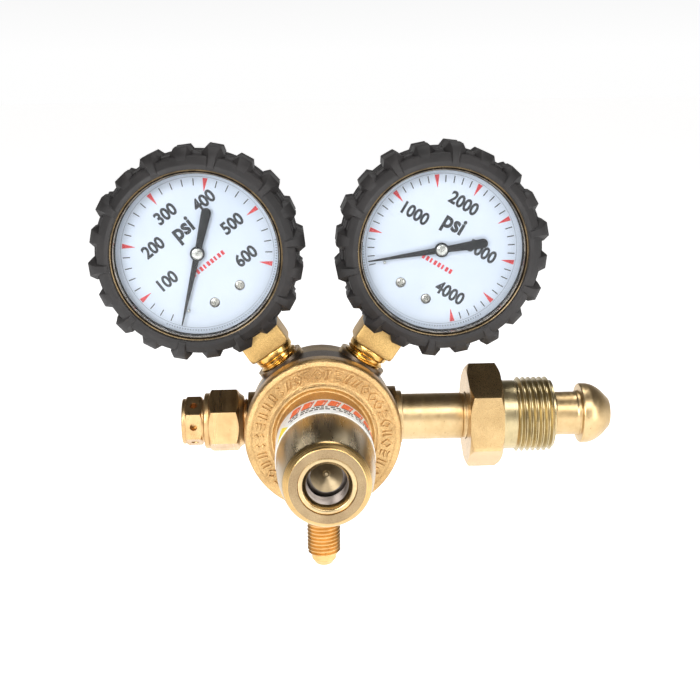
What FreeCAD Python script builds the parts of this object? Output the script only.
import FreeCAD, Part
import Sketcher
import math
import os
import re

# A single-stage pressure regulator for a compressed-gas cylinder, in millimetres.
# Frame: origin on the main axis, where the adjusting screw's thread starts in the bonnet mouth.
# +Y runs along the main axis from the mouth to the back of the body, +X towards the inlet, +Z up.

doc = FreeCAD.newDocument("cylinder_regulator")
sheet = doc.addObject("Spreadsheet::Sheet", "Sizes")
UP = FreeCAD.Vector(0, 0, 1)
BACK = FreeCAD.Vector(0, 1, 0)
RIGHT = FreeCAD.Vector(1, 0, 0)
parts = {}

SIZES = [
    ("Bonnet: the forging over the adjusting spring, from its front face backwards", [
        ("mouth_depth", 2.0), ("front_face_r", 10.9), ("nose_r", 12.6), ("nose_chamfer", 1.7),
        ("nose_len", 5.0), ("taper_len", 2.6), ("barrel_r", 14.6), ("bonnet_len", 46.0),
        ("flange_r", 24.75), ("flange_len", 6.0), ("flange_round", 2.0), ("skirt_r", 20.9),
        ("skirt_len", 4.5), ("spring_bore_r", 11.0), ("plate_bore_r", 16.4), ("plate_bore_len", 4.0),
        ("front_wall", 10.0)]),
    ("Bush with the adjusting screw's thread, and the label round the barrel", [
        ("bush_r", 8.4), ("bush_recess", 0.4), ("bush_mouth_r", 7.1), ("screw_bore_r", 5.8),
        ("screw_thread_len", 6.2), ("bush_relief", 0.5), ("bush_flange_r", 10.4),
        ("bush_flange_len", 3.0), ("label_from", 22.8),
        ("label_width", 14.0), ("label_thick", 0.25)]),
    ("Spring button and adjusting spring", [
        ("button_r", 10.2), ("button_thick", 2.0), ("button_len", 4.8), ("button_clear", 0.4),
        ("dish_rim", 0.75), ("dish_depth", 3.0), ("button_nipple_r", 0.8),
        ("button_nipple_len", 1.0), ("pilot_r", 6.4), ("pilot_len", 2.0),
        ("spring_mean_r", 8.2), ("spring_wire_r", 1.2), ("spring_turns", 6.0)]),
    ("Diaphragm, its plate and its slip ring", [
        ("plate_r", 15.5), ("plate_thick", 2.0), ("ring_thick", 0.6), ("diaphragm_r", 20.6),
        ("diaphragm_thick", 0.4)]),
    ("Body forging", [
        ("body_gap", 0.3), ("body_r", 23.6), ("body_front_len", 15.5), ("body_back_r", 22.2),
        ("body_len", 30.0), ("body_step", 1.2), ("body_dome", 4.5), ("body_dome_r", 18.0),
        ("cup_r", 21.1), ("cup_depth", 5.2), ("cavity_r", 17.0), ("cavity_depth", 2.3),
        ("chamber_r", 7.0), ("chamber_len", 16.2), ("port_plane", 14.2), ("port_depth", 12.5),
        ("passage_r", 2.0), ("cross_r", 1.3), ("cross_at", 14.6)]),
    ("Ports and their bosses, lengths from the main axis", [
        ("gauge_boss_r", 8.0), ("gauge_boss_len", 24.3), ("inlet_boss_r", 10.2),
        ("inlet_boss_len", 24.0), ("relief_boss_r", 9.2), ("relief_boss_len", 23.9),
        ("outlet_boss_r", 8.8), ("outlet_boss_len", 24.6), ("pipe_thread_r", 6.6),
        ("relief_thread_r", 7.1), ("thread_gap", 0.05)]),
    ("Nozzle and valve", [
        ("nozzle_head_r", 8.0), ("nozzle_head_len", 1.3), ("nozzle_len", 4.0), ("lip_r", 2.6),
        ("lip_len", 0.5), ("nozzle_bore_r", 1.6), ("pin_r", 0.8), ("pin_gap", 0.05),
        ("seat_disc_r", 3.4), ("seat_disc_thick", 1.0), ("valve_r", 4.2), ("valve_len", 3.2),
        ("valve_pilot_r", 2.0), ("valve_pilot_len", 2.0), ("valve_spring_r", 2.9),
        ("valve_wire_r", 0.4), ("valve_turns", 5.0)]),
    ("Inlet nipple and nut, lengths from the main axis", [
        ("inlet_root", 13.0), ("collar_r", 8.6), ("collar_len", 2.0), ("pipe_r", 7.5),
        ("pipe_len", 36.6), ("neck_r", 7.35), ("head_at", 84.6), ("head_r", 9.8),
        ("head_len", 9.9), ("head_round", 4.3), ("inlet_bore_r", 2.5), ("filter_r", 4.1),
        ("filter_len", 6.5), ("filter_recess", 2.0), ("nut_bore_r", 7.8), ("nut_at", 47.1),
        ("nut_corner_r", 17.4), ("nut_hex_len", 10.8), ("nut_bevel", 0.9), ("nut_neck_r", 11.25),
        ("nut_neck_len", 4.9), ("nut_thread_r", 12.25), ("nut_thread_len", 12.5),
        ("nut_point", 1.1)]),
    ("Relief valve, lengths from the main axis", [
        ("relief_root", 14.0), ("relief_thread_end", 25.4), ("relief_hex_at", 26.8),
        ("relief_corner_r", 10.4), ("relief_hex_len", 9.8), ("relief_bevel", 0.7),
        ("relief_collar_r", 9.0), ("relief_collar_len", 1.6), ("relief_bore_r", 2.0),
        ("relief_seat_at", 27.4), ("relief_chamber_r", 5.0), ("cap_thread_at", 33.0),
        ("cap_thread_r", 6.2), ("cap_gap", 0.7), ("cap_corner_r", 8.25), ("cap_hex_len", 5.2),
        ("cap_end_r", 7.4), ("cap_end_len", 1.3), ("cap_bore_r", 4.4), ("cap_wall", 2.4),
        ("vent_r", 1.2), ("relief_disc_r", 4.3), ("relief_disc_len", 3.0),
        ("relief_seat_thick", 0.8), ("relief_seat_r", 3.2), ("relief_pilot_r", 1.8),
        ("relief_pilot_len", 2.0), ("relief_spring_r", 3.1), ("relief_wire_r", 0.45),
        ("relief_turns", 6.0)]),
    ("Outlet flare fitting, lengths from the main axis", [
        ("outlet_root", 13.0), ("outlet_thread_end", 25.2), ("outlet_corner_r", 8.25),
        ("outlet_hex_len", 5.6), ("outlet_neck_r", 4.9), ("outlet_neck_len", 1.2),
        ("flare_r", 5.55), ("flare_end", 46.8), ("flare_collar_r", 4.1), ("flare_collar_len", 1.9),
        ("flare_tip_r", 2.7), ("flare_len", 50.6), ("outlet_bore_r", 2.2)]),
    ("Gauge places: both stems lean this far from upright, in the plane of the ports", [
        ("stem_angle", 34.0), ("gauge_reach", 68.0), ("gauge_front", 14.5)]),
    ("Gauge case, bezel, lens and dial, depths from the front of the boot", [
        ("bezel_at", 1.2), ("bezel_r", 28.0), ("bezel_wall", 0.8), ("bezel_lip", 0.9),
        ("bezel_window_r", 25.3), ("bezel_len", 8.3), ("case_gap", 0.1), ("case_wall", 0.8),
        ("case_back", 27.5), ("lens_thick", 1.8), ("lens_r", 27.0), ("gasket_thick", 0.8),
        ("gasket_width", 2.0), ("dial_r", 26.1), ("dial_at", 7.6), ("dial_thick", 0.5),
        ("dial_hole_r", 2.0)]),
    ("Gauge pointer, screws and stop pin", [
        ("pointer_at", 6.3), ("pointer_thick", 0.4), ("pointer_tip", 23.4), ("pointer_tip_w", 0.35),
        ("pointer_root_w", 2.2), ("pointer_tail", 14.6), ("pointer_tail_w", 3.4), ("hub_r", 2.3),
        ("hub_front", 5.1), ("hub_back", 6.9), ("arbor_r", 0.8), ("arbor_end", 17.6),
        ("screw_ring_r", 16.4), ("screw_spread", 17.0), ("screw_head_r", 1.6),
        ("screw_head_len", 0.7), ("screw_shank_r", 0.7), ("stop_pin_r", 0.45),
        ("stop_pin_len", 2.2), ("stop_pin_at", 18.2), ("stop_clear", 0.1)]),
    ("Gauge movement", [
        ("frame_half_w", 6.4), ("frame_top", 5.0), ("frame_bottom", 18.3), ("frame_thick", 0.7),
        ("front_plate_at", 10.4), ("back_plate_at", 16.1), ("pillar_r", 0.7), ("pillar_x", 3.6),
        ("pillar_in", 1.3), ("running_gap", 0.05), ("pinion_r", 1.0), ("gear_ratio", 12.0),
        ("pinion_teeth", 10.0), ("tooth_high", 0.16), ("tooth_deep", 0.30),
        ("tooth_fill", 0.8), ("tooth_root_share", 1.5), ("tooth_tip_share", 0.6),
        ("tooth_sunk_share", 0.6), ("sector_swing", 22.5), ("spare_teeth", 3.0), ("sector_rim", 2.0),
        ("arm_overlap", 0.6), ("sector_at", 12.4),
        ("sector_thick", 0.8), ("sector_hub_r", 1.6), ("sector_arm_w", 2.4), ("tail_len", 7.0),
        ("tail_w", 1.6), ("link_thick", 0.6), ("link_gap", 0.3), ("link_w", 1.5),
        ("link_pin_r", 0.5), ("tube_r", 1.6), ("tube_ring_r", 19.6), ("tube_wall", 0.4),
        ("tube_depth", 18.5), ("tube_start", 16.5), ("tube_sweep", 258.0),
        ("tube_plug", 2.0), ("link_short", 3.4)]),
    ("Gauge socket, lengths from the main axis", [
        ("stem_root", 13.2), ("stem_thread_end", 27.0), ("stem_collar_r", 6.6),
        ("stem_collar_len", 1.7), ("block_half", 7.0), ("block_gap", 0.4), ("block_bevel", 0.6),
        ("block_face_share", 1.30), ("block_edge_share", 1.42), ("neck_in_block", 1.0),
        ("neck_hole_r", 4.9), ("inner_half_w", 6.0), ("inner_half_d", 4.0),
        ("inner_from", 18.6), ("inner_gap", 3.0), ("inner_cap", 1.0), ("bore_cap", 2.0),
        ("stem_bore_r", 1.5)]),
    ("Gauge boot", [
        ("boot_r", 31.0), ("boot_len", 29.5), ("boot_edge", 2.2), ("boot_gap", 0.05),
        ("boot_lip_r", 21.0), ("lug_tip_r", 33.6), ("lug_inset", 2.4), ("lug_width", 6.2),
        ("lug_count", 20.0), ("boot_slot_gap", 0.3)]),
]

row = 1
for heading, cells in SIZES:
    sheet.set("A%d" % row, heading)
    row += 1
    for alias, number in cells:
        sheet.set("A%d" % row, alias)
        sheet.set("B%d" % row, str(number))
        sheet.setAlias("B%d" % row, alias)
        row += 1
doc.recompute()


# --- how pieces are made -------------------------------------------------------------------

def bound(expression):
    """An expression over the sheet's names, with the sheet named in it."""
    return re.sub(r"[a-z][a-z0-9_]*", lambda word: "Sizes." + word.group(0), expression)


def size(expression):
    """The number that such an expression gives."""
    return float(sheet.evalExpression(bound(expression)))


def place(thing, base, rotation=None):
    """Puts a thing at a point given as three expressions, turned by a rotation."""
    point = FreeCAD.Vector(*[size(coordinate) for coordinate in base])
    thing.Placement = FreeCAD.Placement(point, rotation or FreeCAD.Rotation())
    for axis, coordinate in zip("xyz", base):
        thing.setExpression("Placement.Base." + axis, bound(coordinate))
    return thing


def origin_plane(body, role):
    """One of a body's own three planes."""
    return [feature for feature in body.Origin.OriginFeatures if feature.Role == role][0]


def outline_sketch(body, label, outline):
    """A closed outline on the body's XY plane, each corner tied to two expressions."""
    sketch = body.newObject("Sketcher::SketchObject", label + "_outline")
    sketch.AttachmentSupport = [(origin_plane(body, "XY_Plane"), "")]
    sketch.MapMode = "FlatFace"
    corners = [FreeCAD.Vector(size(across), size(along), 0) for across, along in outline]
    count = len(corners)
    for index in range(count):
        sketch.addGeometry(Part.LineSegment(corners[index], corners[(index + 1) % count]), False)
    for index in range(count):
        sketch.addConstraint(Sketcher.Constraint("Coincident", index, 2, (index + 1) % count, 1))
    for index, (across, along) in enumerate(outline):
        for kind, text, number in (("DistanceX", across, corners[index].x),
                                   ("DistanceY", along, corners[index].y)):
            row_id = sketch.addConstraint(Sketcher.Constraint(kind, -1, 1, index, 1, number))
            sketch.setExpression("Constraints[%d]" % row_id, bound(text))
    return sketch


def turned(label, outline, base=("0", "0", "0"), axis=BACK):
    """A turned piece: (radius, height) corners spun about the piece's Y axis, aimed along axis."""
    body = doc.addObject("PartDesign::Body", label)
    sketch = outline_sketch(body, label, outline)
    spun = body.newObject("PartDesign::Revolution", label + "_turn")
    spun.Profile = sketch
    spun.ReferenceAxis = (sketch, ["V_Axis"])
    spun.Angle = 360
    body.Tip = spun
    sketch.Visibility = False
    return place(body, base, FreeCAD.Rotation(BACK, axis))


def plate(label, outline, thickness, base, tilt=0.0):
    """A flat piece: an outline in the gauge's face plane, its back at base, thickening forwards."""
    body = doc.addObject("PartDesign::Body", label)
    pad = body.newObject("PartDesign::Pad", label + "_pad")
    pad.Profile = outline_sketch(body, label, outline)
    pad.setExpression("Length", bound(thickness))
    pad.Length = size(thickness)
    body.Tip = pad
    return place(body, base, FreeCAD.Rotation(BACK, tilt) * FreeCAD.Rotation(RIGHT, 90))


def rod(label, radius, length, base, axis):
    """A cylinder from base along axis."""
    cylinder = doc.addObject("Part::Cylinder", label)
    cylinder.setExpression("Radius", bound(radius))
    cylinder.setExpression("Height", bound(length))
    return place(cylinder, base, FreeCAD.Rotation(UP, axis))


def hexagon(label, corner_r, length, base, axis):
    """A hexagonal bar from base along axis, two of its corners at top and bottom."""
    prism = doc.addObject("Part::Prism", label)
    prism.Polygon = 6
    prism.setExpression("Circumradius", bound(corner_r))
    prism.setExpression("Height", bound(length))
    corner = UP if abs(axis.z) < 0.5 else RIGHT
    return place(prism, base, FreeCAD.Rotation(corner, FreeCAD.Vector(), axis, "ZXY"))


def block(label, sides, base, rotation=None):
    """A box of three side lengths, its low corner at base before it is turned."""
    box = doc.addObject("Part::Box", label)
    for side, text in zip(("Length", "Width", "Height"), sides):
        box.setExpression(side, bound(text))
    return place(box, base, rotation)


def common(label, base, tool):
    """What two solids share."""
    shared = doc.addObject("Part::Common", label)
    shared.Base = base
    shared.Tool = tool
    return shared


def cut(label, base, tools):
    """A solid with one or more others cut out of it."""
    result = doc.addObject("Part::Cut", label)
    result.Base = base
    result.Tool = tools[0] if len(tools) == 1 else fuse(label + "_tools", tools)
    return result


def fuse(label, things):
    """Several solids joined into one."""
    joined = doc.addObject("Part::MultiFuse", label)
    joined.Shapes = things
    joined.Refine = True
    return joined


def coil(label, mean_r, wire_r, length, turns, base, axis):
    """A coil spring: its wire's centre line starts one wire radius past base."""
    helix = doc.addObject("Part::Helix", label + "_line")
    helix.setExpression("Radius", bound(mean_r))
    helix.setExpression("Pitch", bound("(%s - 2 * %s) / %s" % (length, wire_r, turns)))
    helix.setExpression("Height", bound("%s - 2 * %s" % (length, wire_r)))
    wire = doc.addObject("Part::Circle", label + "_wire")
    wire.setExpression("Radius", bound(wire_r))
    place(wire, (mean_r, "0", "0"), FreeCAD.Rotation(RIGHT, 90))
    doc.recompute()
    sweep = doc.addObject("Part::Sweep", label)
    sweep.Sections = [wire]
    sweep.Spine = (helix, ["Edge%d" % (edge + 1) for edge in range(len(helix.Shape.Edges))])
    sweep.Solid = True
    sweep.Frenet = True
    return place(sweep, base, FreeCAD.Rotation(UP, axis))


def keep(node, thing):
    """Names a finished piece after the node that it is written to."""
    thing.Label = node
    parts[node] = thing
    return thing


# --- heights along the main axis, each an expression over the sheet ------------------------
FACE = "-mouth_depth"
FLANGE_BACK = FACE + " + bonnet_len + flange_len"
SKIRT_END = FLANGE_BACK + " + skirt_len"
DIAPHRAGM_AT = SKIRT_END + " + ring_thick"
BODY_AT = FLANGE_BACK + " + body_gap"
CAVITY_FLOOR = BODY_AT + " + cup_depth + cavity_depth"
CHAMBER_END = CAVITY_FLOOR + " + chamber_len"
PORT_Y = BODY_AT + " + port_plane"
BUSH_BACK = FACE + " + front_wall + bush_flange_len"
BUTTON_FACE = BUSH_BACK + " + body_gap"
SEAT_FACE = CAVITY_FLOOR + " + nozzle_len + lip_len"

# --- bonnet, bush and label ----------------------------------------------------------------
keep("bonnet", turned("bonnet_turned", [
    ("bush_r", "0"), ("front_face_r", "0"), ("nose_r", "nose_chamfer"),
    ("nose_r", "nose_chamfer + nose_len"), ("barrel_r", "nose_chamfer + nose_len + taper_len"),
    ("barrel_r", "bonnet_len"), ("flange_r - flange_round", "bonnet_len"),
    ("flange_r", "bonnet_len + flange_round"), ("flange_r", "bonnet_len + flange_len"),
    ("skirt_r", "bonnet_len + flange_len"), ("skirt_r", "bonnet_len + flange_len + skirt_len"),
    ("plate_bore_r", "bonnet_len + flange_len + skirt_len"),
    ("plate_bore_r", "bonnet_len + flange_len + skirt_len - plate_bore_len"),
    ("spring_bore_r", "bonnet_len + flange_len + skirt_len - plate_bore_len"),
    ("spring_bore_r", "front_wall"), ("bush_r", "front_wall")],
    ("0", FACE, "0")))

keep("adjusting_screw_bush", turned("bush_turned", [
    ("bush_mouth_r", "bush_recess"), ("bush_r", "bush_recess"), ("bush_r", "front_wall"),
    ("bush_flange_r", "front_wall"), ("bush_flange_r", "front_wall + bush_flange_len"),
    ("screw_bore_r + bush_relief", "front_wall + bush_flange_len"),
    ("screw_bore_r + bush_relief", "mouth_depth + screw_thread_len"),
    ("screw_bore_r", "mouth_depth + screw_thread_len"), ("screw_bore_r", "mouth_depth")],
    ("0", FACE, "0")))

keep("barrel_label", turned("label_turned", [
    ("barrel_r", "0"), ("barrel_r + label_thick", "0"), ("barrel_r + label_thick", "label_width"),
    ("barrel_r", "label_width")], ("0", FACE + " + label_from", "0")))

# --- spring button, adjusting spring, diaphragm --------------------------------------------
# The button's boss is dished in front, with a small nipple left at the dish's middle.
BOSS_R = "screw_bore_r + bush_relief - button_clear"
DISH_R = "(" + BOSS_R + " - dish_rim)"
keep("spring_button", turned("button_turned", [
    ("0", "dish_depth - button_nipple_len"), ("button_nipple_r", "dish_depth - button_nipple_len"),
    ("button_nipple_r", "dish_depth * (1 - button_nipple_r / " + DISH_R + ")"),
    (DISH_R, "0"), (BOSS_R, "0"), (BOSS_R, "button_len"), ("button_r", "button_len"),
    ("button_r", "button_len + button_thick"), ("pilot_r", "button_len + button_thick"),
    ("pilot_r", "button_len + button_thick + pilot_len"),
    ("0", "button_len + button_thick + pilot_len")],
    ("0", BUTTON_FACE + " - button_len", "0")))

PLATE_AT = DIAPHRAGM_AT + " - plate_thick"
SPRING_AT = BUTTON_FACE + " + button_thick"
keep("adjusting_spring", coil(
    "spring_coil", "spring_mean_r", "spring_wire_r", "(%s - (%s))" % (PLATE_AT, SPRING_AT),
    "spring_turns", ("0", SPRING_AT + " + spring_wire_r", "0"), BACK))

keep("diaphragm_plate", turned("plate_turned", [
    ("0", "0"), ("pilot_r", "0"), ("pilot_r", "pilot_len"), ("plate_r", "pilot_len"),
    ("plate_r", "pilot_len + plate_thick"), ("0", "pilot_len + plate_thick")],
    ("0", PLATE_AT + " - pilot_len", "0")))

keep("slip_ring", turned("slip_ring_turned", [
    ("plate_bore_r", "0"), ("diaphragm_r", "0"), ("diaphragm_r", "ring_thick"),
    ("plate_bore_r", "ring_thick")], ("0", SKIRT_END, "0")))

keep("diaphragm", rod("diaphragm_disc", "diaphragm_r", "diaphragm_thick",
                      ("0", DIAPHRAGM_AT, "0"), BACK))

# --- body forging --------------------------------------------------------------------------
STEM = size("stem_angle")
LEFT_STEM = FreeCAD.Rotation(BACK, -STEM).multVec(UP)
RIGHT_STEM = FreeCAD.Rotation(BACK, STEM).multVec(UP)
PORTS = [("left_gauge", LEFT_STEM, "gauge_boss_r", "gauge_boss_len", "pipe_thread_r"),
         ("right_gauge", RIGHT_STEM, "gauge_boss_r", "gauge_boss_len", "pipe_thread_r"),
         ("inlet", RIGHT, "inlet_boss_r", "inlet_boss_len", "pipe_thread_r"),
         ("relief", RIGHT * -1, "relief_boss_r", "relief_boss_len", "relief_thread_r"),
         ("outlet", UP * -1, "outlet_boss_r", "outlet_boss_len", "pipe_thread_r")]
HIGH_PRESSURE = ("right_gauge", "inlet")

body_outer = turned("body_turned", [
    ("0", "0"), ("body_r", "0"), ("body_r", "body_front_len"),
    ("body_back_r", "body_front_len + body_step"), ("body_back_r", "body_len - body_dome"),
    ("body_dome_r", "body_len"), ("0", "body_len")], ("0", BODY_AT, "0"))
cavity = turned("body_cavity", [
    ("0", "0"), ("cup_r", "0"), ("cup_r", "cup_depth"), ("cavity_r", "cup_depth"),
    ("cavity_r", "cup_depth + cavity_depth"), ("chamber_r", "cup_depth + cavity_depth"),
    ("chamber_r", "cup_depth + cavity_depth + chamber_len"),
    ("0", "cup_depth + cavity_depth + chamber_len")], ("0", BODY_AT, "0"))
bosses = []
drillings = [cavity]
for name, direction, boss_r, boss_len, thread_r in PORTS:
    bosses.append(rod(name + "_boss", boss_r, boss_len, ("0", PORT_Y, "0"), direction))
    port = rod(name + "_port", thread_r, boss_len, ("0", PORT_Y, "0"), direction)
    port.Placement.Base = port.Placement.Base + direction * size("port_depth")
    for axis, share in zip("xz", (direction.x, direction.z)):
        port.setExpression("Placement.Base." + axis, bound("port_depth * %.6f" % share))
    drillings.append(port)
    if name in HIGH_PRESSURE:
        drillings.append(rod(name + "_passage", "passage_r", "port_depth + passage_r",
                             ("0", PORT_Y, "0"), direction))
    else:
        drillings.append(rod(name + "_passage", "cross_r", "port_plane - cup_depth - cavity_depth",
                             ("cross_at * %.6f" % direction.x, CAVITY_FLOOR,
                              "cross_at * %.6f" % direction.z), BACK))
keep("body", cut("body_drilled", fuse("body_bossed", [body_outer] + bosses), drillings))

# --- nozzle and valve ----------------------------------------------------------------------
keep("nozzle", turned("nozzle_turned", [
    ("nozzle_bore_r", "0"), ("nozzle_head_r", "0"), ("nozzle_head_r", "nozzle_head_len"),
    ("chamber_r - thread_gap", "nozzle_head_len"),
    ("chamber_r - thread_gap", "nozzle_head_len + nozzle_len"),
    ("lip_r", "nozzle_head_len + nozzle_len"), ("lip_r", "nozzle_head_len + nozzle_len + lip_len"),
    ("nozzle_bore_r", "nozzle_head_len + nozzle_len + lip_len")],
    ("0", CAVITY_FLOOR + " - nozzle_head_len", "0")))

PIN_LEN = "(%s - (%s) - diaphragm_thick - pin_gap)" % (SEAT_FACE, DIAPHRAGM_AT)
keep("valve_pin", turned("valve_turned", [
    ("0", "0"), ("pin_r", "0"), ("pin_r", PIN_LEN + " + seat_disc_thick"),
    ("valve_r", PIN_LEN + " + seat_disc_thick"),
    ("valve_r", PIN_LEN + " + seat_disc_thick + valve_len"),
    ("valve_pilot_r", PIN_LEN + " + seat_disc_thick + valve_len"),
    ("valve_pilot_r", PIN_LEN + " + seat_disc_thick + valve_len + valve_pilot_len"),
    ("0", PIN_LEN + " + seat_disc_thick + valve_len + valve_pilot_len")],
    ("0", DIAPHRAGM_AT + " + diaphragm_thick + pin_gap", "0")))

keep("valve_seat_disc", turned("seat_disc_turned", [
    ("pin_r", "0"), ("seat_disc_r", "0"), ("seat_disc_r", "seat_disc_thick"),
    ("pin_r", "seat_disc_thick")], ("0", SEAT_FACE, "0")))

VALVE_BACK = SEAT_FACE + " + seat_disc_thick + valve_len"
keep("valve_spring", coil(
    "valve_coil", "valve_spring_r", "valve_wire_r", "(%s - (%s))" % (CHAMBER_END, VALVE_BACK),
    "valve_turns", ("0", VALVE_BACK + " + valve_wire_r", "0"), BACK))

# --- inlet nipple, filter and nut ----------------------------------------------------------
HEAD_END = "head_at + head_len"
keep("inlet_nipple", turned("nipple_turned", [
    ("inlet_bore_r", "inlet_root"), ("pipe_thread_r - thread_gap", "inlet_root"),
    ("pipe_thread_r - thread_gap", "inlet_boss_len"), ("collar_r", "inlet_boss_len"),
    ("collar_r", "inlet_boss_len + collar_len"), ("pipe_r", "inlet_boss_len + collar_len"),
    ("pipe_r", "inlet_boss_len + collar_len + pipe_len"),
    ("neck_r", "inlet_boss_len + collar_len + pipe_len + nut_point"), ("neck_r", "head_at"),
    ("head_r", "head_at"), ("head_r", HEAD_END + " - head_round * 1.2"),
    ("head_r - head_round * 0.3", HEAD_END + " - head_round * 0.5"),
    ("head_r - head_round", HEAD_END), ("filter_r", HEAD_END),
    ("filter_r", HEAD_END + " - filter_recess - filter_len"),
    ("inlet_bore_r", HEAD_END + " - filter_recess - filter_len")],
    ("0", PORT_Y, "0"), RIGHT))

keep("inlet_filter", rod("filter_plug", "filter_r - thread_gap", "filter_len",
                         (HEAD_END + " - filter_recess - filter_len", PORT_Y, "0"), RIGHT))

NUT_LEN = "nut_hex_len + nut_neck_len + nut_thread_len"
nut_turned = turned("nut_turned", [
    ("nut_bore_r", "0"), ("nut_corner_r - nut_bevel", "0"), ("nut_corner_r", "nut_bevel"),
    ("nut_corner_r", "nut_hex_len - nut_bevel"), ("nut_corner_r - nut_bevel", "nut_hex_len"),
    ("nut_neck_r", "nut_hex_len"), ("nut_neck_r", "nut_hex_len + nut_neck_len"),
    ("nut_thread_r", "nut_hex_len + nut_neck_len"), ("nut_thread_r", NUT_LEN + " - nut_point"),
    ("nut_thread_r - nut_point", NUT_LEN), ("nut_bore_r", NUT_LEN)],
    ("nut_at", PORT_Y, "0"), RIGHT)
keep("inlet_nut", common("nut_cut", nut_turned, hexagon(
    "nut_hex", "nut_corner_r", NUT_LEN, ("nut_at", PORT_Y, "0"), RIGHT)))

# --- relief valve --------------------------------------------------------------------------
LEFT = RIGHT * -1
RELIEF_HEX_END = "relief_hex_at + relief_hex_len"
RELIEF_END = RELIEF_HEX_END + " + relief_collar_len"
relief_turned = turned("relief_turned", [
    ("relief_bore_r", "relief_root"), ("relief_thread_r - thread_gap", "relief_root"),
    ("relief_thread_r - thread_gap", "relief_thread_end"),
    ("relief_corner_r - relief_hex_at + relief_thread_end", "relief_thread_end"),
    ("relief_corner_r", "relief_hex_at"), ("relief_corner_r", RELIEF_HEX_END + " - relief_bevel"),
    ("relief_corner_r - relief_bevel", RELIEF_HEX_END), ("relief_collar_r", RELIEF_HEX_END),
    ("relief_collar_r", RELIEF_END), ("cap_thread_r + thread_gap", RELIEF_END),
    ("cap_thread_r + thread_gap", "cap_thread_at"), ("relief_chamber_r", "cap_thread_at"),
    ("relief_chamber_r", "relief_seat_at"), ("relief_bore_r", "relief_seat_at")],
    ("0", PORT_Y, "0"), LEFT)
keep("relief_body", common("relief_cut", relief_turned, hexagon(
    "relief_hex", "relief_corner_r", RELIEF_END, ("0", PORT_Y, "0"), LEFT)))

CAP_AT = RELIEF_END + " + cap_gap"
CAP_HEX_END = CAP_AT + " + cap_hex_len"
CAP_END = CAP_HEX_END + " + cap_end_len"
cap_turned = turned("cap_turned", [
    ("cap_bore_r", "cap_thread_at"), ("cap_thread_r", "cap_thread_at"), ("cap_thread_r", CAP_AT),
    ("cap_corner_r - relief_bevel", CAP_AT), ("cap_corner_r", CAP_AT + " + relief_bevel"),
    ("cap_corner_r", CAP_HEX_END + " - relief_bevel"),
    ("cap_corner_r - relief_bevel", CAP_HEX_END), ("cap_end_r", CAP_HEX_END),
    ("cap_end_r", CAP_END + " - relief_bevel"), ("cap_end_r - relief_bevel", CAP_END),
    ("0", CAP_END), ("0", CAP_END + " - cap_wall"), ("cap_bore_r", CAP_END + " - cap_wall")],
    ("0", PORT_Y, "0"), LEFT)
cap_hexed = common("cap_cut", cap_turned, hexagon(
    "cap_hex", "cap_corner_r", CAP_END, ("0", PORT_Y, "0"), LEFT))
vents = []
for flat in range(3):
    across = FreeCAD.Rotation(RIGHT, 60 * flat).multVec(BACK)
    vent = rod("vent_%d" % flat, "vent_r", "2 * cap_corner_r",
               ("-(%s + cap_hex_len / 2)" % CAP_AT, PORT_Y + " - cap_corner_r * %.6f" % across.y,
                "0 - cap_corner_r * %.6f" % across.z), across)
    vents.append(vent)
keep("relief_cap", cut("cap_vented", cap_hexed, vents))

DISC_BACK = "relief_seat_at + relief_seat_thick + relief_disc_len"
keep("relief_seat_disc", rod("relief_seat", "relief_seat_r", "relief_seat_thick",
                             ("-relief_seat_at", PORT_Y, "0"), LEFT))
keep("relief_disc_holder", turned("relief_disc_turned", [
    ("0", "relief_seat_at + relief_seat_thick"), ("relief_disc_r", "relief_seat_at + relief_seat_thick"),
    ("relief_disc_r", DISC_BACK), ("relief_pilot_r", DISC_BACK),
    ("relief_pilot_r", DISC_BACK + " + relief_pilot_len"), ("0", DISC_BACK + " + relief_pilot_len")],
    ("0", PORT_Y, "0"), LEFT))
keep("relief_spring", coil(
    "relief_coil", "relief_spring_r", "relief_wire_r",
    "(%s - cap_wall - (%s))" % (CAP_END, DISC_BACK), "relief_turns",
    ("-(%s + relief_wire_r)" % DISC_BACK, PORT_Y, "0"), LEFT))

# --- outlet flare fitting ------------------------------------------------------------------
DOWN = UP * -1
OUTLET_HEX_END = "outlet_thread_end + outlet_hex_len"
outlet_turned = turned("outlet_turned", [
    ("outlet_bore_r", "outlet_root"), ("pipe_thread_r - thread_gap", "outlet_root"),
    ("pipe_thread_r - thread_gap", "outlet_thread_end"),
    ("outlet_corner_r - relief_bevel", "outlet_thread_end"),
    ("outlet_corner_r", "outlet_thread_end + relief_bevel"),
    ("outlet_corner_r", OUTLET_HEX_END + " - relief_bevel"),
    ("outlet_corner_r - relief_bevel", OUTLET_HEX_END), ("outlet_neck_r", OUTLET_HEX_END),
    ("outlet_neck_r", OUTLET_HEX_END + " + outlet_neck_len"),
    ("flare_r", OUTLET_HEX_END + " + outlet_neck_len"), ("flare_r", "flare_end"),
    ("flare_collar_r", "flare_end"), ("flare_collar_r", "flare_end + flare_collar_len"),
    ("flare_tip_r", "flare_len"), ("outlet_bore_r", "flare_len")],
    ("0", PORT_Y, "0"), DOWN)
keep("outlet_flare_fitting", common("outlet_cut", outlet_turned, hexagon(
    "outlet_hex", "outlet_corner_r", "flare_len", ("0", PORT_Y, "0"), DOWN)))


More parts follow.
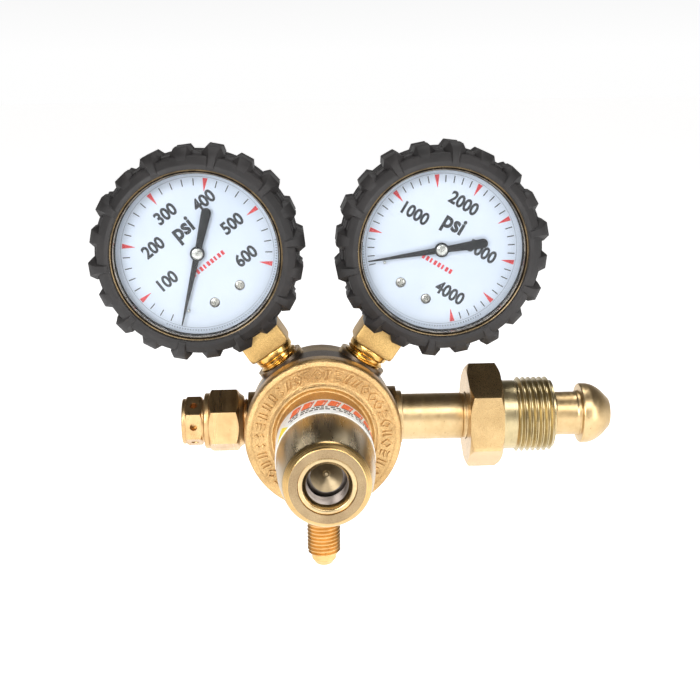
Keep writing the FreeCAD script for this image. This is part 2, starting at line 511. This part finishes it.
# --- gauges --------------------------------------------------------------------------------
def tooth_ring(label, pitch_r, teeth, first, count, thickness, base, tilt, blank, holes=()):
    """Small straight-sided gear teeth round a blank, from tooth number first on."""
    step = 360.0 / teeth
    quarter = math.radians(step) * pitch_r / 4 * size("tooth_fill")
    root = quarter * size("tooth_root_share")
    tip = quarter * size("tooth_tip_share")
    high = size("tooth_high")
    deep = size("tooth_deep")
    teeth_solids = []
    for number in range(count):
        corners = [FreeCAD.Vector(x, y, 0) for x, y in (
            (-root, pitch_r - deep), (root, pitch_r - deep),
            (tip, pitch_r + high), (-tip, pitch_r + high))]
        face = Part.Face(Part.makePolygon(corners + corners[:1]))
        tooth = face.extrude(FreeCAD.Vector(0, 0, size(thickness)))
        tooth.rotate(FreeCAD.Vector(), UP, (first + number) * step)
        teeth_solids.append(tooth)
    gear = blank.multiFuse(teeth_solids).removeSplitter()
    for hole in holes:
        gear = gear.cut(hole)
    piece = doc.addObject("Part::Feature", label)
    piece.Shape = gear
    return place(piece, base, FreeCAD.Rotation(BACK, tilt) * FreeCAD.Rotation(RIGHT, 90))


def gauge(side, sign, rest_angle):
    """All the pieces of one gauge; sign is -1 for the left and 1 for the right."""
    tilt = sign * STEM
    stem = LEFT_STEM if sign < 0 else RIGHT_STEM
    across = FreeCAD.Rotation(BACK, tilt).multVec(RIGHT)
    front = PORT_Y + " - gauge_front"
    centre_x = "gauge_reach * %.6f" % stem.x
    centre_z = "gauge_reach * %.6f" % stem.z

    def at(depth, right="0", up="0"):
        """A point of the gauge's own frame: depth behind the boot's front, right and up its face."""
        return (centre_x + " + (%s) * %.6f + (%s) * %.6f" % (right, across.x, up, stem.x),
                front + " + " + depth,
                centre_z + " + (%s) * %.6f + (%s) * %.6f" % (right, across.z, up, stem.z))

    def spun(name, outline, depth="0"):
        return keep(side + "_" + name, turned(side + "_" + name + "_turned", outline, at(depth)))

    case_r = "bezel_r - bezel_wall - case_gap"
    lens_at = "bezel_at + bezel_lip"
    case_at = lens_at + " + lens_thick + gasket_thick"
    bezel_ring_outline = [
        ("bezel_window_r", "bezel_at"), ("bezel_r - bezel_lip", "bezel_at"),
        ("bezel_r", "bezel_at + bezel_lip"), ("bezel_r", "bezel_at + bezel_len"),
        ("bezel_r - bezel_wall", "bezel_at + bezel_len"), ("bezel_r - bezel_wall", lens_at),
        ("bezel_window_r", lens_at)]
    spun("bezel", bezel_ring_outline)
    spun("lens", [("0", lens_at), ("lens_r", lens_at), ("lens_r", lens_at + " + lens_thick"),
                  ("0", lens_at + " + lens_thick")])
    spun("lens_gasket", [
        ("lens_r - gasket_width", lens_at + " + lens_thick"), ("lens_r", lens_at + " + lens_thick"),
        ("lens_r", case_at), ("lens_r - gasket_width", case_at)])

    case_shell = turned(side + "_case_shell", [
        (case_r, case_at), (case_r, "case_back"), ("0", "case_back"),
        ("0", "case_back - case_wall"), (case_r + " - case_wall", "case_back - case_wall"),
        (case_r + " - case_wall", case_at)], at("0"))
    stem_down = stem * -1
    neck_hole = rod(side + "_case_hole", "neck_hole_r + running_gap", "bezel_r + case_wall",
                    at("gauge_front"), stem_down)
    keep(side + "_case", cut(side + "_case_holed", case_shell, [neck_hole]))

    # dial with its centre hole and two screw holes
    spread = math.radians(size("screw_spread"))
    screw_spots = [("%s * screw_ring_r * %.6f" % (way, math.sin(spread)),
                    "-screw_ring_r * %.6f" % math.cos(spread)) for way in ("-1", "1")]
    dial_blank = turned(side + "_dial_blank", [
        ("dial_hole_r", "dial_at"), ("dial_r", "dial_at"), ("dial_r", "dial_at + dial_thick"),
        ("dial_hole_r", "dial_at + dial_thick")], at("0"))
    dial_holes = [rod("%s_dial_hole_%d" % (side, number), "screw_shank_r + running_gap",
                      "dial_thick * 3", at("dial_at - dial_thick", right, up), BACK)
                  for number, (right, up) in enumerate(screw_spots)]
    keep(side + "_dial", cut(side + "_dial_holed", dial_blank, dial_holes))
    screws = [turned("%s_dial_screw_%d" % (side, number), [
        ("0", "0"), ("screw_head_r", "0"), ("screw_head_r", "screw_head_len"),
        ("screw_shank_r", "screw_head_len"),
        ("screw_shank_r", "front_plate_at + frame_thick - dial_at + screw_head_len"),
        ("0", "front_plate_at + frame_thick - dial_at + screw_head_len")],
        at("dial_at - screw_head_len", right, up))
        for number, (right, up) in enumerate(screw_spots)]
    screw_pair = doc.addObject("Part::Compound", side + "_dial_screw_pair")
    screw_pair.Links = screws
    keep(side + "_dial_screws", screw_pair)

    # pointer, at rest against its stop pin, and the pinion that carries it
    lean = -rest_angle
    pointer_rotation = FreeCAD.Rotation(BACK, lean) * FreeCAD.Rotation(RIGHT, 90)
    blade = plate(side + "_pointer_blade", [
        ("-pointer_root_w / 2", "0"), ("-pointer_tail_w / 2", "0.25 * pointer_tail_w - pointer_tail"),
        ("-pointer_tail_w / 4", "-pointer_tail"), ("pointer_tail_w / 4", "-pointer_tail"),
        ("pointer_tail_w / 2", "0.25 * pointer_tail_w - pointer_tail"), ("pointer_root_w / 2", "0"),
        ("pointer_tip_w / 2", "pointer_tip"), ("-pointer_tip_w / 2", "pointer_tip")],
        "pointer_thick", at("pointer_at"))
    place(blade, at("pointer_at"), pointer_rotation)
    hub = rod(side + "_pointer_hub", "hub_r", "hub_back - hub_front", at("hub_front"), BACK)
    arbor_bore = rod(side + "_arbor_bore", "arbor_r", "hub_back", at("hub_front + hub_r / 3"), BACK)
    keep(side + "_pointer", cut(side + "_pointer_bored", fuse(side + "_pointer_joined",
                                                             [blade, hub]), [arbor_bore]))
    tip = FreeCAD.Rotation(BACK, lean).multVec(UP)
    back_side = FreeCAD.Rotation(BACK, lean - 90).multVec(UP)
    blade_half = ("(pointer_root_w + (pointer_tip_w - pointer_root_w) * stop_pin_at / pointer_tip)"
                  " / 2")
    beside = "(%s + stop_pin_r + stop_clear)" % blade_half
    pin_x = "stop_pin_at * %.6f + %s * %.6f" % (tip.x, beside, back_side.x)
    pin_z = "stop_pin_at * %.6f + %s * %.6f" % (tip.z, beside, back_side.z)
    keep(side + "_stop_pin", rod(
        side + "_stop_pin_rod", "stop_pin_r", "stop_pin_len",
        (centre_x + " + " + pin_x, front + " + dial_at - stop_pin_len",
         centre_z + " + " + pin_z), BACK))

    # movement: two plates on four pillars, pinion on its arbor, sector gear, link
    pivot_up = "-(pinion_r + pinion_r * gear_ratio)"
    frame_outline = [("-frame_half_w", "-frame_bottom"), ("frame_half_w", "-frame_bottom"),
                     ("frame_half_w", "frame_top"), ("-frame_half_w", "frame_top")]
    plates = [plate("%s_frame_%s" % (side, place_name), frame_outline, "frame_thick",
                    at(depth + " + frame_thick"), tilt)
              for place_name, depth in (("front", "front_plate_at"), ("back", "back_plate_at"))]
    pillars = [rod("%s_pillar_%s_%s" % (side, way, end), "pillar_r",
                   "back_plate_at - front_plate_at", at("front_plate_at + frame_thick / 2",
                                                        way + "1 * pillar_x", height), BACK)
               for way in ("-", "")
               for end, height in (("top", "frame_top - pillar_in"),
                                   ("bottom", "pillar_in - frame_bottom"))]
    bearings = [rod("%s_bearing_%d" % (side, number), "arbor_r + running_gap",
                    "back_plate_at - front_plate_at + 4 * frame_thick",
                    at("front_plate_at - frame_thick", "0", height), BACK)
                for number, height in enumerate(("0", pivot_up))]
    screw_holes = [rod("%s_frame_hole_%d" % (side, number), "screw_shank_r + running_gap",
                       "3 * frame_thick", at("front_plate_at - frame_thick", right, up), BACK)
                   for number, (right, up) in enumerate(screw_spots)]
    keep(side + "_movement_frame", cut(side + "_frame_bored", fuse(
        side + "_frame_joined", plates + pillars), bearings + screw_holes))

    teeth = size("pinion_teeth")
    pinion_r = size("pinion_r")
    sector_r = pinion_r * size("gear_ratio")
    arbor = Part.makeCylinder(size("arbor_r"), size("arbor_end - hub_front - hub_r / 3"))
    arbor.translate(FreeCAD.Vector(0, 0, size("sector_at + sector_thick - arbor_end")))
    blank_depth = size("tooth_deep * tooth_sunk_share")
    pinion_blank = arbor.fuse(Part.makeCylinder(pinion_r - blank_depth, size("sector_thick")))
    keep(side + "_pinion", tooth_ring(
        side + "_pinion_gear", pinion_r, teeth, 0, int(teeth), "sector_thick",
        at("sector_at + sector_thick"), tilt, pinion_blank))

    sector_teeth = teeth * size("gear_ratio")
    sweep_teeth = int(math.ceil(sector_teeth * size("sector_swing") / 360.0) + size("spare_teeth"))
    step = 360.0 / sector_teeth
    thick = size("sector_thick")
    rim_inner = sector_r - size("sector_rim")
    rim_outer = sector_r - blank_depth
    first_deg = 90 - (sweep_teeth - 1.0) * step
    last_deg = 90 + step
    rim = Part.makeCylinder(rim_outer, thick, FreeCAD.Vector(), UP, last_deg - first_deg)
    rim = rim.cut(Part.makeCylinder(rim_inner, thick))
    rim.rotate(FreeCAD.Vector(), UP, first_deg)
    hub_disc = Part.makeCylinder(size("sector_hub_r"), thick)
    arm = Part.makeBox(rim_inner + size("arm_overlap"), size("sector_arm_w"), thick,
                       FreeCAD.Vector(0, -size("sector_arm_w") / 2, 0))
    arm.rotate(FreeCAD.Vector(), UP, (first_deg + last_deg) / 2)
    tail = Part.makeBox(size("tail_len"), size("tail_w"), thick,
                        FreeCAD.Vector(0, -size("tail_w") / 2, 0))
    tail_end = Part.makeCylinder(size("tail_w") / 2, thick,
                                 FreeCAD.Vector(size("tail_len"), 0, 0))
    arbor_len = size("back_plate_at - front_plate_at + frame_thick")
    sector_arbor = Part.makeCylinder(size("arbor_r"), arbor_len, FreeCAD.Vector(
        0, 0, size("sector_at + sector_thick - back_plate_at - frame_thick")))
    blank = rim.multiFuse([hub_disc, arm, tail, tail_end, sector_arbor])
    eye = Part.makeCylinder(size("link_pin_r + running_gap"), 3 * thick,
                            FreeCAD.Vector(size("tail_len"), 0, -thick))
    keep(side + "_sector_gear", tooth_ring(
        side + "_sector", sector_r, sector_teeth, 1.5 - sweep_teeth, sweep_teeth, "sector_thick",
        at("sector_at + sector_thick", "0", pivot_up), tilt, blank, [eye]))

    # Bourdon tube: a closed hollow C round the movement, soldered into the socket
    tube = doc.addObject("Part::Torus", side + "_tube_outer")
    hollow = doc.addObject("Part::Torus", side + "_tube_hollow")
    start = size("tube_start")
    turn = FreeCAD.Rotation(BACK, tilt) * FreeCAD.Rotation(RIGHT, 90)
    for ring, wall, plug in ((tube, "0", "0"), (hollow, "tube_wall", "tube_plug")):
        ring.setExpression("Radius1", bound("tube_ring_r"))
        ring.setExpression("Radius2", bound("tube_r - " + wall))
        ring.setExpression("Angle3", bound("tube_sweep - 2 * " + plug))
        spin = FreeCAD.Rotation(UP, 270 - start - size("tube_sweep") + size(plug))
        place(ring, at("tube_depth"), turn * spin)
    keep(side + "_bourdon_tube", cut(side + "_tube_hollowed", tube, [hollow]))

    # link from the sector's tail to the tube's tip, its far pin ending clear of the tube
    tip_angle = math.radians(270 - start - size("tube_sweep"))
    link_stop = tip_angle + math.radians(size("link_short"))
    tip_right = size("tube_ring_r") * math.cos(link_stop)
    tip_up = size("tube_ring_r") * math.sin(link_stop)
    pivot = size(pivot_up)
    reach = math.hypot(tip_right - size("tail_len"), tip_up - pivot)
    aim = math.degrees(math.atan2(tip_up - pivot, tip_right - size("tail_len")))
    link_thick = size("link_thick")
    link_w = size("link_w")
    link_back = "sector_at - link_gap"
    bar = Part.makeBox(reach, link_w, link_thick, FreeCAD.Vector(0, -link_w / 2, 0))
    near_end = Part.makeCylinder(link_w / 2, link_thick)
    far_end = Part.makeCylinder(link_w / 2, link_thick, FreeCAD.Vector(reach, 0, 0))
    near_pin = Part.makeCylinder(size("link_pin_r"), size("link_gap + sector_thick + link_thick"),
                                 FreeCAD.Vector(0, 0, -size("link_gap + sector_thick")))
    far_len = size("tube_depth - tube_r - link_gap - sector_at")
    far_pin = Part.makeCylinder(size("link_pin_r"), far_len + link_thick,
                                FreeCAD.Vector(reach, 0, -far_len))
    pieces = [bar, near_end, far_end, near_pin, far_pin]
    for piece in pieces:
        piece.rotate(FreeCAD.Vector(), UP, aim)
    link_shape = bar.multiFuse(pieces[1:]).removeSplitter()
    link = doc.addObject("Part::Feature", side + "_link_bar")
    link.Shape = link_shape
    keep(side + "_link", place(link, at(link_back, "tail_len", pivot_up), turn))

    # socket: thread, collar, wrench block, neck through the case, inner block
    block_at = "stem_thread_end + stem_collar_len"
    block_end = "gauge_reach - bezel_r - block_gap"
    inner_end = "gauge_reach - inner_from"
    stem_turned = turned(side + "_socket_stem", [
        ("stem_bore_r", "stem_root"), ("pipe_thread_r - thread_gap", "stem_root"),
        ("pipe_thread_r - thread_gap", "stem_thread_end"), ("stem_collar_r", "stem_thread_end"),
        ("stem_collar_r", block_at), ("neck_hole_r - thread_gap", block_at + " + neck_in_block"),
        ("neck_hole_r - thread_gap", inner_end + " - inner_cap"),
        ("stem_bore_r", inner_end + " - inner_cap")],
        ("0", PORT_Y, "0"), stem)
    square = FreeCAD.Rotation(BACK, tilt)
    wrench = block(side + "_socket_block", ("2 * block_half", "2 * block_half",
                                               block_end + " - (%s)" % block_at),
                   (corner_at(stem.x, across.x, block_at, "block_half"),
                    PORT_Y + " - block_half", corner_at(stem.z, across.z, block_at, "block_half")),
                   square)
    bevel = turned(side + "_socket_bevel", [
        ("0", block_at), ("block_half * block_face_share", block_at),
        ("block_half * block_edge_share", block_at + " + block_bevel * 2"),
        ("block_half * block_edge_share", block_end), ("0", block_end)],
        ("0", PORT_Y, "0"), stem)
    inner = block(side + "_socket_inner",
                  ("2 * inner_half_w", "2 * inner_half_d", "%s - (%s) - inner_gap" % (inner_end, block_end)),
                  (corner_at(stem.x, across.x, block_end + " + inner_gap", "inner_half_w"),
                   PORT_Y + " - gauge_front + tube_depth - inner_half_d",
                   corner_at(stem.z, across.z, block_end + " + inner_gap", "inner_half_w")),
                  square)
    bore = rod(side + "_socket_bore", "stem_bore_r", inner_end + " - bore_cap",
               ("0", PORT_Y, "0"), stem)
    keep(side + "_socket", cut(side + "_socket_bored", fuse(
        side + "_socket_joined", [stem_turned, common(side + "_socket_square", wrench, bevel),
                                  inner]), [bore]))

    # rubber boot: a ring with a lip behind the case, tread lugs and a slot for the socket
    boot_body = turned(side + "_boot_ring", [
        ("bezel_r + boot_gap", "0"), ("boot_r - boot_edge", "0"), ("boot_r", "boot_edge"),
        ("boot_r", "boot_len - boot_edge"), ("boot_r - boot_edge", "boot_len"),
        ("boot_lip_r", "boot_len"), ("boot_lip_r", "case_back + boot_gap"),
        ("bezel_r + boot_gap", "case_back + boot_gap")], at("0"))
    lug_sketch = outline_sketch(boot_body, side + "_lug", [
        ("boot_r - boot_edge", "lug_inset"), ("lug_tip_r", "lug_inset"),
        ("lug_tip_r", "boot_len - lug_inset"), ("boot_r - boot_edge", "boot_len - lug_inset")])
    lug = boot_body.newObject("PartDesign::Pad", side + "_lug_pad")
    lug.Profile = lug_sketch
    lug.Midplane = True
    lug.setExpression("Length", bound("lug_width"))
    lug.Length = size("lug_width")
    ring_of_lugs = boot_body.newObject("PartDesign::PolarPattern", side + "_lugs")
    ring_of_lugs.Originals = [lug]
    ring_of_lugs.Axis = (lug_sketch, ["V_Axis"])
    ring_of_lugs.Angle = 360
    ring_of_lugs.Occurrences = int(size("lug_count"))
    boot_body.Tip = ring_of_lugs
    place(boot_body, at("0"), FreeCAD.Rotation(BACK, tilt + 180 / size("lug_count")))
    slot = block(side + "_boot_slot",
                 ("2 * block_half + 2 * boot_slot_gap", "2 * block_half + 2 * boot_slot_gap",
                  "2 * boot_r - gauge_reach + " + block_end),
                 (corner_at(stem.x, across.x, "gauge_reach - 2 * boot_r + boot_edge",
                            "block_half + boot_slot_gap"),
                  PORT_Y + " - block_half - boot_slot_gap",
                  corner_at(stem.z, across.z, "gauge_reach - 2 * boot_r + boot_edge",
                            "block_half + boot_slot_gap")), square)
    keep(side + "_boot", cut(side + "_boot_slotted", boot_body, [slot]))


def corner_at(stem_share, across_share, along, half):
    """One coordinate of a block's low corner: along the stem, and half a width to its side."""
    return "(%s) * %.6f - (%s) * %.6f" % (along, stem_share, half, across_share)


gauge("left", -1, 166.5)
gauge("right", 1, 98.5)

# --- check every object, then write one file for each piece --------------------------------
doc.recompute()
failed = [thing.Label for thing in doc.Objects
          if "Invalid" in thing.State or "Error" in thing.State]
if failed:
    raise RuntimeError("failed: " + ", ".join(failed))
for node, thing in parts.items():
    shape = thing.Shape
    if shape.isNull() or not shape.isValid() or not shape.Solids:
        raise RuntimeError("no good solid: " + node)
os.makedirs("parts", exist_ok=True)
for node, thing in parts.items():
    thing.Shape.exportStep("parts/%s.step" % node)
print("%d pieces" % len(parts))
